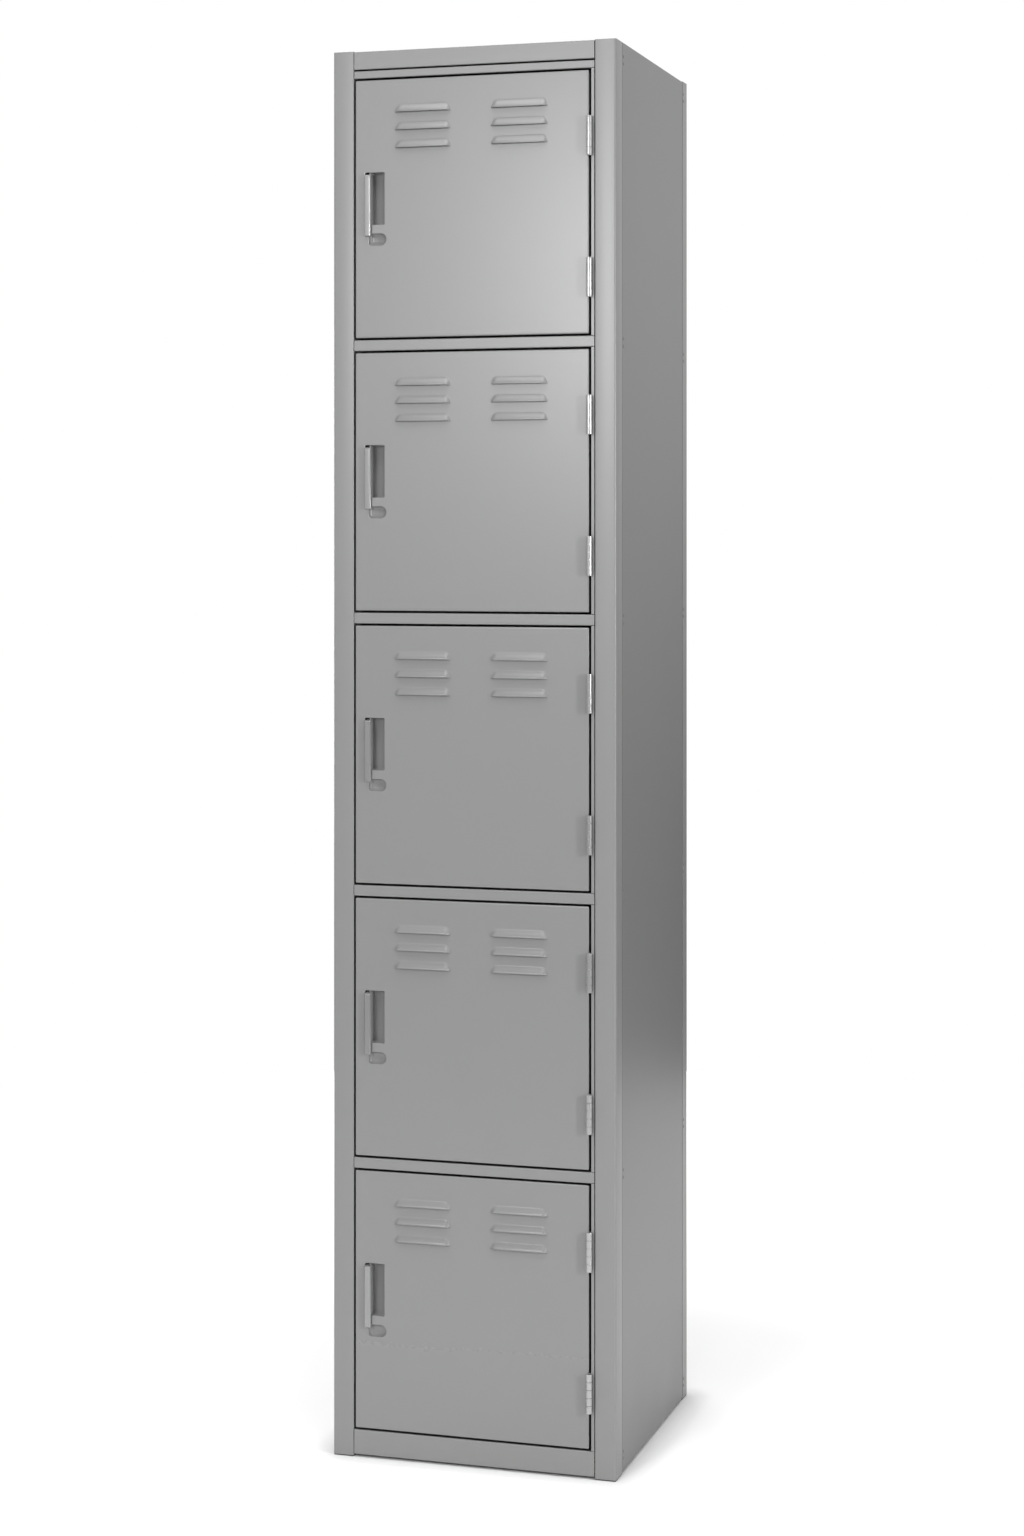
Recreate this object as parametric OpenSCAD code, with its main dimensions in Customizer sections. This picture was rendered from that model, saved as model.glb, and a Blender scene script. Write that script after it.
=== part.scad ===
// Five-tier steel locker cabinet: one column of five hinged doors, each with a
// recessed pull and a sprung latch. X runs left to right as seen from the front,
// Y from front to back and Z up. The origin is on the floor, under the middle.

/* [Cabinet] */
// Overall width across the posts
cab_w = 381; // [330:1:430]
// Overall depth from the post faces to the back
cab_d = 390; // [300:1:500]
// Overall height with the feet
cab_h = 1830; // [1750:1:1950]
// Thickness of the post and bracket sheet
frame_t = 1.2; // [1:0.1:1.4]
// Thickness of the panel, shelf and door sheet
sheet_t = 0.9; // [0.7:0.1:1]
// Open seam between neighbouring sheets
seam = 0.6; // [0.4:0.1:1]

/* [Frame] */
// Width of each post seen from the front
post_w = 28; // [26:0.5:32]
// Depth of the front posts' side faces
post_d = 31; // [30:0.5:36]
// Depth of the rear posts' side faces
rear_post_d = 27; // [24:0.5:32]
// Outer bend radius of the post corners
bend_r = 2.6; // [2:0.1:3]
// Height of the roof's front flange
header_h = 24; // [20:0.5:30]
// Height of the rail under the roof flange
top_rail_h = 9.8; // [8:0.1:12]
// Height of the front flange of each shelf
rail_h = 14.1; // [12:0.1:18]
// Height of the plinth's face
plinth_h = 32.3; // [28:0.1:40]
// Gap between the plinth and the floor
floor_gap = 3.5; // [2:0.1:6]
// Thickness of the glides under the posts
foot_t = 1.5; // [1:0.1:3]

/* [Doors] */
// Gap above and below each door
door_gap = 2.7; // [2:0.1:3.5]
// Gap between the left post and the doors
latch_gap = 2.4; // [2:0.1:3]
// Gap between the doors and the hinge jamb, for the two hinge leaves
hinge_gap = 3.2; // [3.2:0.1:4]
// Width of the hinge jamb's face
jamb_w = 4; // [3:0.1:6]
// Depth of the door pan
door_d = 18; // [16:0.5:18.5]
// Width of the lips folded in behind the flanges
door_lip = 9; // [6:0.5:10]

/* [Louvres] */
// Width of each louvre
louvre_w = 76; // [60:1:84]
// Height of each louvre
louvre_h = 10; // [8:0.5:12]
// How far a louvre stands out
louvre_out = 4.5; // [3:0.1:5]
// Vertical spacing of the louvres
louvre_pitch = 23.2; // [18:0.1:28]
// Top of the door to the bottom edge of the first louvre
louvre_drop = 41.5; // [30:0.5:50]

/* [Pull] */
// Left edge of the door to the left edge of the slot
slot_x = 13.3; // [12:0.1:16]
// Width of the slot in the door skin
slot_w = 26.5; // [24:0.5:30]
// Height of the slot
slot_h = 68; // [60:1:76]
// Top of the door to the top of the slot
slot_drop = 120; // [110:1:140]
// Width of the pull bar
bar_w = 8.6; // [8:0.1:9]
// Length of the pull bar
bar_h = 80; // [78:1:84]
// How far the bar stands out of the door
bar_out = 4.5; // [4:0.1:5]
// Width of the finger dish under the bar
dish_w = 24; // [20:1:28]
// Height of the finger dish
dish_h = 15.5; // [14:0.5:18]
// Depth of the finger dish
dish_d = 5.5; // [4.5:0.1:8]

/* [Hinges] */
// Length of each hinge barrel
hinge_len = 50; // [40:1:60]
// Radius of the hinge barrel
knuckle_r = 4; // [3.6:0.1:4]
// Radius of the hinge pin
pin_r = 2; // [1.5:0.1:2.2]
// Thickness of the hinge leaves
leaf_t = 1.2; // [1:0.1:1.2]
// Door top to the top of the upper hinge
upper_hinge_drop = 58.7; // [40:1:80]
// Door bottom to the bottom of the lower hinge
lower_hinge_rise = 46.6; // [40:1:80]

/* [Hidden] */
$fn = 48;
TIERS = 5;
clear = 0.05;
lap = 15;

// Heights of the openings and their doors, counted from the top
floor_top = floor_gap + plinth_h;
head_gap = 2;
open_top = cab_h - header_h - head_gap - top_rail_h;
pitch = (open_top - floor_top + rail_h) / TIERS;
door_h = pitch - rail_h - 2 * door_gap;
function door_z(n) = floor_top + door_gap + (TIERS - n) * pitch;
function rail_z(n) = door_z(n) - door_gap - rail_h;

// Plan positions
rail_x0 = post_w + seam;
rail_x1 = cab_w - post_w - seam;
door_x0 = post_w + latch_gap;
jamb_x = rail_x1 - jamb_w;
door_x1 = jamb_x - hinge_gap;
door_w = door_x1 - door_x0;
hinge_x = jamb_x - hinge_gap / 2;
hinge_y = -knuckle_r;
tray_x = 2.4;
back_y = cab_d - frame_t - clear;
tray_y1 = back_y - sheet_t - 0.3;
rear_y0 = cab_d - rear_post_d;

// Latch and pull
pivot_y = 5.5;
pivot_drop = 6;
hub_r = 4.2;
lever_pin_r = 1.5;
bar_gap = 0.4;
bar_top = 2.8;
bar_lip = 3.3;
web_w = 5;
strike_y = 21;
strike_t = 1.5;
tongue_t = 2.5;
tongue_h = 8;
pocket_x = slot_x + 6;
pocket_r = 17.3;
pocket_y = -3.3;
dish_x = slot_x + 5;
dish_drop = 79.5;

// Fasteners
rivet_r = 2.2;
rivet_shank_r = 1.6;
rivet_h = 0.7;
rivet_pitch = 9.4;
front_rivet_y = post_d + 6.5;
rear_rivet_y = rear_y0 + 5.5;
rail_levels = [for (n = [1:TIERS - 1]) rail_z(n) + rail_h / 2];
rivet_levels = concat([floor_top / 2 + 5.6], rail_levels, [cab_h - header_h + 2]);

// Puts the front left bottom corner of the cabinet where it belongs
module place() {
    translate([-cab_w / 2, -(cab_d - 2 * knuckle_r) / 2, 0]) children();
}

// Mirrors the child from the left side of the cabinet to the right side
module right_hand() {
    translate([cab_w, 0, 0]) mirror([1, 0, 0]) children();
}

// A box from one corner to the opposite one
module block(low, high) {
    translate(low) cube(high - low);
}

// A quarter ring in plan, bent from sheet, around the inside of a corner at 0,0
module bent_corner(r, t) {
    intersection() {
        square(r);
        translate([r, r]) difference() {
            circle(r);
            circle(r - t);
        }
    }
}

// A rectangle with round corners
module round_rect(size, r) {
    translate([r, 0]) square([size.x - 2 * r, size.y]);
    translate([0, r]) square([size.x, size.y - 2 * r]);
    for (x = [r, size.x - r], y = [r, size.y - r]) translate([x, y]) circle(r);
}

// Shanks of the rivets along one side seam, grown by a clearance
module seam_shanks(y, grow) {
    for (z = rivet_levels, dz = [-0.5, 0.5]) {
        translate([-0.2, y, z + dz * rivet_pitch]) rotate([0, 90, 0])
            cylinder(r = rivet_shank_r + grow, h = tray_x + 0.1);
    }
}

// ---------------------------------------------------------------- frame

module front_post_section() {
    bent_corner(bend_r, frame_t);
    translate([bend_r, 0]) square([post_w - bend_r, frame_t]);
    translate([0, bend_r]) square([frame_t, post_d - bend_r]);
    translate([0, post_d - frame_t]) square([sheet_t + clear + frame_t, frame_t]);
    translate([sheet_t + clear, post_d - frame_t]) square([frame_t, lap + frame_t]);
    translate([post_w - frame_t, 0]) square([frame_t, post_d - 1]);
    translate([post_w / 2, post_d - 1 - frame_t]) square([post_w / 2, frame_t]);
}

module front_post() {
    difference() {
        union() {
            translate([0, 0, foot_t]) linear_extrude(cab_h - 2 * frame_t - foot_t)
                front_post_section();
            difference() {
                translate([0, 0, cab_h - 2 * frame_t - clear])
                    linear_extrude(2 * frame_t + clear) union() {
                        bent_corner(bend_r, bend_r);
                        translate([bend_r, 0]) square([post_w - bend_r, bend_r]);
                        translate([0, bend_r]) square([post_w, post_d - bend_r]);
                    }
                translate([0, 0, cab_h - 3 * frame_t]) linear_extrude(2 * frame_t)
                    translate([frame_t, frame_t])
                        square([post_w - 2 * frame_t, post_d - 2 * frame_t]);
            }
        }
        seam_shanks(front_rivet_y, clear);
    }
}

module rear_post() {
    difference() {
        union() {
            translate([0, rear_y0, foot_t])
                cube([frame_t, rear_post_d - bend_r, cab_h - foot_t]);
            translate([bend_r, cab_d - frame_t, foot_t])
                cube([post_w - bend_r, frame_t, cab_h - foot_t]);
            translate([0, cab_d, foot_t]) mirror([0, 1, 0])
                linear_extrude(cab_h - foot_t) bent_corner(bend_r, frame_t);
            block([frame_t / 2, rear_y0, cab_h - frame_t],
                [post_w, cab_d - frame_t / 2, cab_h]);
        }
        translate([-1, cab_d + 1, 0]) mirror([0, 1, 0]) linear_extrude(cab_h + 1)
            difference() {
                square(bend_r + 1);
                translate([bend_r + 1, bend_r + 1]) circle(bend_r);
            }
        seam_shanks(rear_rivet_y, clear);
    }
}

module side_panel() {
    panel_h = cab_h - frame_t - clear;
    difference() {
        union() {
            block([0, post_d + seam, floor_gap], [sheet_t, rear_y0 - seam, cab_h]);
            block([0, rear_y0 - seam - sheet_t, floor_gap],
                [frame_t + clear + sheet_t, rear_y0 - seam, panel_h]);
            block([frame_t + clear, rear_y0 - seam - sheet_t, floor_gap],
                [frame_t + clear + sheet_t, rear_y0 + lap, panel_h]);
        }
        seam_shanks(front_rivet_y, clear);
        seam_shanks(rear_rivet_y, clear);
    }
}

module front_post_left() {
    color("#a3a6a5") place() front_post();
}

module front_post_right() {
    color("#a3a6a5") place() right_hand() front_post();
}

module rear_post_left() {
    color("#a3a6a5") place() rear_post();
}

module rear_post_right() {
    color("#a3a6a5") place() right_hand() rear_post();
}

module side_panel_left() {
    color("#9b9e9d") place() side_panel();
}

module side_panel_right() {
    color("#9b9e9d") place() right_hand() side_panel();
}

module back_panel() {
    color("#9b9e9d") place()
        block([frame_t + lap, back_y - sheet_t, floor_gap],
            [cab_w - frame_t - lap, back_y, cab_h - frame_t - clear]);
}

// ---------------------------------------------------------------- trays

// A sheet with a folded front flange between the posts and flanges on the other
// three sides. The sheet's top is at z = top, and the flanges hang from it.
module tray(top, front_h, side_h, front_y, lip) {
    side_y0 = post_d + lap + 1;
    block([tray_x, post_d + seam, top - sheet_t], [cab_w - tray_x, tray_y1, top]);
    block([rail_x0, front_y, top - sheet_t], [rail_x1, post_d + 1, top]);
    block([rail_x0, front_y, top - front_h], [rail_x1, front_y + sheet_t, top]);
    block([rail_x0, front_y, top - front_h], [rail_x1, front_y + lip, top - front_h + sheet_t]);
    for (x = [tray_x, cab_w - tray_x - sheet_t]) {
        block([x, side_y0, top - side_h], [x + sheet_t, tray_y1, top]);
    }
    block([tray_x, tray_y1 - sheet_t, top - side_h], [cab_w - tray_x, tray_y1, top]);
}

module shelf(n) {
    color("#a3a6a5") place() tray(rail_z(n) + rail_h, rail_h, rail_h, 0, 12);
}

module shelf_1() {
    shelf(1);
}

module shelf_2() {
    shelf(2);
}

module shelf_3() {
    shelf(3);
}

module shelf_4() {
    shelf(4);
}

module roof_panel() {
    corner_y = post_d + seam;
    color("#a3a6a5") place() difference() {
        union() {
            tray(cab_h - 0.6, header_h - 0.6, 20, 0, 12);
            block([sheet_t + clear, corner_y, cab_h - 0.6 - sheet_t],
                [cab_w - sheet_t - clear, rear_y0 - seam - 1.2, cab_h - 0.6]);
        }
        for (x = [0, cab_w - rail_x0]) {
            block([x, rear_y0 - seam, cab_h - 2 * frame_t - 0.1],
                [x + rail_x0, cab_d, cab_h + 1]);
        }
    }
}

module floor_panel() {
    color("#8f9291") place()
        tray(floor_top - sheet_t - clear, rail_h, rail_h, sheet_t + clear, 8);
}

module plinth() {
    color("#a3a6a5") place() {
        block([rail_x0, 0, floor_gap], [rail_x1, sheet_t, floor_top]);
        block([rail_x0, 0, floor_top - sheet_t], [rail_x1, 20, floor_top]);
        block([rail_x0, 0, floor_gap], [rail_x1, 15, floor_gap + sheet_t]);
    }
}

module top_rail() {
    depth = 22;
    color("#a3a6a5") place() {
        block([rail_x0, 0, open_top], [rail_x1, sheet_t, open_top + top_rail_h]);
        for (z = [open_top, open_top + top_rail_h - sheet_t]) {
            block([rail_x0, 0, z], [rail_x1, depth, z + sheet_t]);
        }
    }
}

// ---------------------------------------------------------------- hinges

module hinge_jambs() {
    depth = 22;
    low = 0.3;
    high = door_h + 2 * door_gap - 0.3;
    color("#a3a6a5") place() for (n = [1:TIERS]) {
        translate([jamb_x, 0, door_z(n) - door_gap]) {
            block([0, 0, low], [sheet_t, depth, high]);
            block([0, 0, low], [jamb_w, sheet_t, high]);
            block([0, depth - sheet_t, low], [jamb_w + seam, depth, high]);
        }
    }
}

knuckles = 5;
knuckle_gap = 0.35;
knuckle_h = (hinge_len - (knuckles - 1) * knuckle_gap) / knuckles;
hinge_rises = [lower_hinge_rise, door_h - upper_hinge_drop - hinge_len];

// The knuckles and leaf of one half hinge. side is -1 for the door's half and
// 1 for the frame's, and first is its lowest knuckle.
module half_hinge(side, first) {
    leaf_gap = 0.4;
    leaf_y0 = knuckle_r + 0.6;
    leaf_y1 = 20;
    x0 = side > 0 ? leaf_gap : -leaf_gap - leaf_t;
    for (k = [first:2:knuckles - 1]) {
        translate([0, 0, k * (knuckle_h + knuckle_gap)]) difference() {
            union() {
                cylinder(r = knuckle_r, h = knuckle_h);
                translate([x0, 0, 0]) cube([leaf_t, leaf_y0 + 1, knuckle_h]);
            }
            translate([0, 0, -1]) cylinder(r = pin_r + clear, h = knuckle_h + 2);
        }
    }
    block([x0, leaf_y0, 0], [x0 + leaf_t, leaf_y1, hinge_len]);
}

module hinge_frame_leaves() {
    color("#b4b7b6") place() for (n = [1:TIERS], rise = hinge_rises) {
        translate([hinge_x, hinge_y, door_z(n) + rise]) half_hinge(1, 0);
    }
}

module hinge_door_leaves(n) {
    color("#b4b7b6") place() for (rise = hinge_rises) {
        translate([hinge_x, hinge_y, door_z(n) + rise]) half_hinge(-1, 1);
    }
}

module hinge_pins() {
    color("#c3c6c5") place() for (n = [1:TIERS], rise = hinge_rises) {
        translate([hinge_x, hinge_y, door_z(n) + rise])
            cylinder(r = pin_r, h = hinge_len);
    }
}

// ---------------------------------------------------------------- doors

module louvre_shape(w, h, out, slant) {
    intersection() {
        translate([w, 0, 0]) rotate([90, 0, -90]) linear_extrude(w)
            polygon([[-0.5, 0], [out, 0], [out, 1.5], [0, h], [-0.5, h]]);
        translate([0, 2, 0]) rotate([90, 0, 0]) linear_extrude(out + 3)
            polygon([[0, 0], [w, 0], [w, 1.5], [w - slant, h], [slant, h], [0, 1.5]]);
    }
}

// Places the child at each louvre's lower left corner, in the door's own frame
module at_louvres() {
    margin = (door_w - 2 * louvre_w) / 3;
    for (x = [margin, door_w - margin - louvre_w], k = [0:2]) {
        translate([x, 0, door_h - louvre_drop - k * louvre_pitch]) children();
    }
}

// The dish's D shape, round on the right, with its top edge at 0
module dish_outline(grow) {
    r = dish_h / 2 + grow;
    left_r = 4 + grow;
    left = dish_x - grow;
    middle = dish_x + dish_w - dish_h / 2;
    translate([0, -dish_h / 2]) {
        translate([middle, 0]) circle(r);
        translate([left + left_r, -r]) square([middle - left - left_r, 2 * r]);
        translate([left, left_r - r]) square([left_r, 2 * (r - left_r)]);
        for (s = [-1, 1]) translate([left + left_r, s * (r - left_r)]) circle(left_r);
    }
}

module slot_outline() {
    translate([slot_x, -slot_h]) round_rect([slot_w, slot_h], 1.2);
}

// Turns an outline drawn in X and Z into a prism from y0 to y1
module front_prism(y0, y1) {
    translate([0, y1, 0]) rotate([90, 0, 0]) linear_extrude(y1 - y0) children();
}

module door_panel(n) {
    t = sheet_t;
    slant = 6;
    color("#a0a3a2") place() translate([door_x0, 0, door_z(n)]) {
        difference() {
            union() {
                block([0, 0, 0], [door_w, t, door_h]);
                block([0, 0, 0], [t, door_d, door_h]);
                block([door_w - t, 0, 0], [door_w, door_d, door_h]);
                block([0, 0, 0], [door_w, door_d, t]);
                block([0, 0, door_h - t], [door_w, door_d, door_h]);
                difference() {
                    block([0, door_d - t, 0], [door_w, door_d, door_h]);
                    block([door_lip, 0, door_lip],
                        [door_w - door_lip, door_d + 1, door_h - door_lip]);
                }
                at_louvres() louvre_shape(louvre_w, louvre_h, louvre_out, slant);
            }
            at_louvres() translate([t, t, -t])
                louvre_shape(louvre_w - 2 * t, louvre_h, louvre_out, slant);
            translate([0, 0, door_h - slot_drop]) front_prism(-1, t + 1) slot_outline();
            translate([0, 0, door_h - slot_drop - dish_drop])
                front_prism(-1, t + 1) dish_outline(0);
        }
    }
}

// Moves the child from the top left corner of the slot's frame into door n
module at_pull(n) {
    place() translate([door_x0, 0, door_z(n) + door_h - slot_drop]) children();
}

module pivot_rod(r, x0, x1) {
    translate([x0, pivot_y, -pivot_drop]) rotate([0, 90, 0])
        cylinder(r = r, h = x1 - x0);
}

module trough(grow) {
    intersection() {
        translate([pocket_x + 3.7 - clear, pocket_y]) circle(pocket_r + grow);
        translate([pocket_x + 1.2 - grow, 0]) square([30, 30]);
    }
}

module handle_pocket(n) {
    t = 1;
    y0 = sheet_t + clear;
    left = 7;
    ear_x = 8.2;
    ear_t = 1.2;
    rim = 4;
    low = -dish_drop - dish_h - rim;
    right = slot_x + slot_w + rim + 2;
    color("#989b9a") at_pull(n) difference() {
        union() {
            front_prism(y0, y0 + t) translate([left, low])
                square([right - left, rim - low]);
            translate([0, 0, -slot_h - t]) linear_extrude(slot_h + 2 * t)
                intersection() {
                    trough(t);
                    translate([0, y0]) square([60, 30]);
                }
            translate([0, 0, -dish_drop]) front_prism(y0, dish_d + t) dish_outline(t);
            block([ear_x, y0, -pivot_drop - 5], [ear_x + ear_t, 11, -pivot_drop + 5]);
        }
        translate([0, 0, -slot_h]) linear_extrude(slot_h) trough(0);
        translate([0, 0, -dish_drop]) front_prism(-1, dish_d) dish_outline(0);
        block([slot_x, 0, -slot_h], [pocket_x, y0 + t + 1, 0]);
        pivot_rod(lever_pin_r + 0.02, ear_x - 1, pocket_x + 1.2);
    }
}

module bar_section() {
    r = 1.6;
    x0 = slot_x + bar_gap;
    difference() {
        union() {
            translate([x0, -bar_out]) square([bar_w, bar_lip]);
            translate([x0, -bar_out]) square([web_w, bar_out + 2.5]);
        }
        translate([x0 + bar_w - r, -bar_out - 1]) square([r + 1, r + 1]);
        translate([x0 - 1, -bar_out - 1]) square([2, 2]);
    }
    translate([x0 + bar_w - r, -bar_out + r]) circle(r);
    translate([x0 + 1, -bar_out + 1]) circle(1);
}

module pull_lever(n) {
    x0 = slot_x + bar_gap;
    x1 = x0 + web_w;
    tongue_x = 0.2;
    tongue_y = strike_y + strike_t + 0.4;
    half_h = tongue_h / 2;
    color("#b9bcbb") at_pull(n) difference() {
        union() {
            translate([0, 0, -bar_top - bar_h]) linear_extrude(bar_h) bar_section();
            pivot_rod(hub_r, x0, x1);
            block([x0, pivot_y, -pivot_drop - half_h],
                [x1 - 1, tongue_y + tongue_t, -pivot_drop + half_h]);
            block([tongue_x, tongue_y, -pivot_drop - half_h],
                [x1 - 1, tongue_y + tongue_t, -pivot_drop + half_h]);
        }
        block([0, -bar_gap - 0.2, -bar_top - bar_h - 1], [60, 4, -slot_h + 1.5]);
        translate([0, -bar_out - 1, -bar_top - 2.2]) rotate([45, 0, 0])
            cube([60, 4, 4]);
        pivot_rod(lever_pin_r + clear, x0 - 1, x1 + 1);
    }
}

module lever_pin(n) {
    color("#c3c6c5") at_pull(n) {
        pivot_rod(lever_pin_r, 7.3, pocket_x + 1.2);
        pivot_rod(2.4, 7.2, 8.2 - clear);
    }
}

// A torsion spring's wire: a leg down in front of the pin, the coil round the pin,
// and a leg that ends under the latch arm
module spring_wire() {
    wire_r = 0.4;
    coil_r = 3;
    coil_x = 10.05;
    rise = 0.85;
    turns = 3.25;
    first = 180;
    step = 30;
    sides = 6;
    leg = 9;
    last = first + 360 * turns;
    path = concat(
        [[[coil_x, -coil_r, leg], first]],
        [for (a = [first:step:last])
            [[coil_x + rise * (a - first) / 360, coil_r * cos(a), coil_r * sin(a)], a]],
        [[[coil_x + rise * turns, leg - 3, -coil_r - 2.1], last],
            [[coil_x + rise * turns + 2.4, leg - 1, -coil_r - 2.4], last]]
    );
    rings = len(path);
    points = [for (p = path, k = [0:sides - 1]) let (b = 360 * k / sides)
        p[0] + wire_r * [cos(b), sin(b) * cos(p[1]), sin(b) * sin(p[1])]];
    sleeve = [for (i = [0:rings - 2], k = [0:sides - 1]) let (m = (k + 1) % sides)
        [i * sides + k, (i + 1) * sides + k, (i + 1) * sides + m, i * sides + m]];
    caps = [
        [for (k = [0:sides - 1]) k],
        [for (k = [sides - 1:-1:0]) (rings - 1) * sides + k]
    ];
    polyhedron(points = points, faces = concat(sleeve, caps));
}

module lever_spring(n) {
    color("#8b8e8d") at_pull(n) translate([0, pivot_y, -pivot_drop]) spring_wire();
}

// ---------------------------------------------------------------- fittings

// Local height of the latch in door n's opening
function latch_z(n) = door_z(n) + door_h - slot_drop - pivot_drop;

module strikes() {
    x0 = post_w + clear;
    color("#b4b7b6") place() for (n = [1:TIERS]) {
        translate([x0, strike_y, latch_z(n)]) {
            block([0, 0, -1], [11, strike_t, 22]);
            block([0, 0, -1], [strike_t, 9, 22]);
        }
    }
}

module strike_bumpers() {
    color("#3a3a3a") place() for (n = [1:TIERS]) {
        translate([post_w + 6.5, strike_y, latch_z(n) + 14]) rotate([90, 0, 0])
            cylinder(r = 3.5, h = strike_y - door_d - 0.35);
    }
}

module seam_rivets(y) {
    seam_shanks(y, 0);
    for (z = rivet_levels, dz = [-0.5, 0.5]) {
        translate([-rivet_h, y, z + dz * rivet_pitch]) rotate([0, 90, 0])
            intersection() {
                cylinder(r = rivet_r, h = rivet_h);
                translate([0, 0, 4]) sphere(4);
            }
    }
}

module side_rivets() {
    seam_rivets(front_rivet_y);
    seam_rivets(rear_rivet_y);
}

module rivets() {
    color("#9b9e9d") place() {
        side_rivets();
        right_hand() side_rivets();
    }
}

// A glide under a post whose section starts at y and is deep mm deep
module foot(y, deep) {
    inset = 0.6;
    plug_gap = 4;
    translate([inset, y + inset, 0])
        cube([post_w - 2 * inset, deep - 2 * inset, foot_t]);
    translate([plug_gap, y + plug_gap, 0])
        cube([post_w - 2 * plug_gap, deep - 2 * plug_gap, 10]);
}

module side_feet() {
    foot(0, post_d);
    foot(rear_y0, rear_post_d);
}

module feet() {
    color("#2f2f2f") place() {
        side_feet();
        right_hand() side_feet();
    }
}

// ---------------------------------------------------------------- nodes

front_post_left();
front_post_right();
rear_post_left();
rear_post_right();
side_panel_left();
side_panel_right();
back_panel();
roof_panel();
floor_panel();
plinth();
top_rail();
shelf_1();
shelf_2();
shelf_3();
shelf_4();
hinge_jambs();
hinge_frame_leaves();
hinge_pins();
strikes();
strike_bumpers();
rivets();
feet();
door_panel(1);  // door_panel_1
door_panel(2);  // door_panel_2
door_panel(3);  // door_panel_3
door_panel(4);  // door_panel_4
door_panel(5);  // door_panel_5
handle_pocket(1);  // handle_pocket_1
handle_pocket(2);  // handle_pocket_2
handle_pocket(3);  // handle_pocket_3
handle_pocket(4);  // handle_pocket_4
handle_pocket(5);  // handle_pocket_5
hinge_door_leaves(1);  // hinge_door_leaves_1
hinge_door_leaves(2);  // hinge_door_leaves_2
hinge_door_leaves(3);  // hinge_door_leaves_3
hinge_door_leaves(4);  // hinge_door_leaves_4
hinge_door_leaves(5);  // hinge_door_leaves_5
pull_lever(1);  // pull_lever_1
pull_lever(2);  // pull_lever_2
pull_lever(3);  // pull_lever_3
pull_lever(4);  // pull_lever_4
pull_lever(5);  // pull_lever_5
lever_pin(1);  // lever_pin_1
lever_pin(2);  // lever_pin_2
lever_pin(3);  // lever_pin_3
lever_pin(4);  // lever_pin_4
lever_pin(5);  // lever_pin_5
lever_spring(1);  // lever_spring_1
lever_spring(2);  // lever_spring_2
lever_spring(3);  // lever_spring_3
lever_spring(4);  // lever_spring_4
lever_spring(5);  // lever_spring_5
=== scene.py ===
"""Looks of a five-tier steel locker cabinet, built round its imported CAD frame.

Lengths are in millimetres from the cabinet's front left corner until a mesh is made,
and in metres after that. X runs to the right, Y to the back and Z up.
"""

import math

import bmesh
import bpy
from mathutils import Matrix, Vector

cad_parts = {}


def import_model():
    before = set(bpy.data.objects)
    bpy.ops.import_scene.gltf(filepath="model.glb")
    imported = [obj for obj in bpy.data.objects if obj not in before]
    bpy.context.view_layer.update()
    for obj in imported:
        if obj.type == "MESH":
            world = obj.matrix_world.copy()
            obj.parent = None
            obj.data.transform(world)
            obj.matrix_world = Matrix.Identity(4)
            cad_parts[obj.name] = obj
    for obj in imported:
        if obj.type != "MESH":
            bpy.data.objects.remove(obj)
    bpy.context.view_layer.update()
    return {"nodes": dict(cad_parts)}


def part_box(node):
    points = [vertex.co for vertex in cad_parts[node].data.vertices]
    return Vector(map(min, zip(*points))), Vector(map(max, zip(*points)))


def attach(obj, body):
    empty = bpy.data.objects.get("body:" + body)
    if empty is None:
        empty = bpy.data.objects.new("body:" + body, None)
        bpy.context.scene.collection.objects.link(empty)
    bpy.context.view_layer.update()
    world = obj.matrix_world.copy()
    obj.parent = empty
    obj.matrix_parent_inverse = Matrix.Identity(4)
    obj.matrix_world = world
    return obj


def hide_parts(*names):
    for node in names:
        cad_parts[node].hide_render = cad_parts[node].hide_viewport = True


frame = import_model()

MM = 0.001
TIERS = range(1, 6)
CORNER = Vector((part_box("front_post_left")[0].x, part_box("front_post_left")[0].y, 0))


def span(node):
    """A node's lowest and highest corners in mm, from the front left corner."""
    return [(corner - CORNER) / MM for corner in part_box(node)]


CAB_W = span("front_post_right")[1].x
CAB_H = span("rear_post_left")[1].z
CAB_D = span("rear_post_left")[1].y
POST = span("front_post_left")
POST_W = POST[1].x
SIDE = span("side_panel_left")
REAR = span("rear_post_left")
DOOR = span("door_panel_1")
DOOR_W = DOOR[1].x - DOOR[0].x
DOOR_H = DOOR[1].z - DOOR[0].z
DOOR_D = DOOR[1].y

FRAME_T = 1.2    # the posts' sheet
SHEET_T = 0.9    # the side panels' and doors' sheet
SHARP = 42       # an edge that turns by more degrees than this is shaded sharp


# ------------------------------------------------------------------ materials

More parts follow.
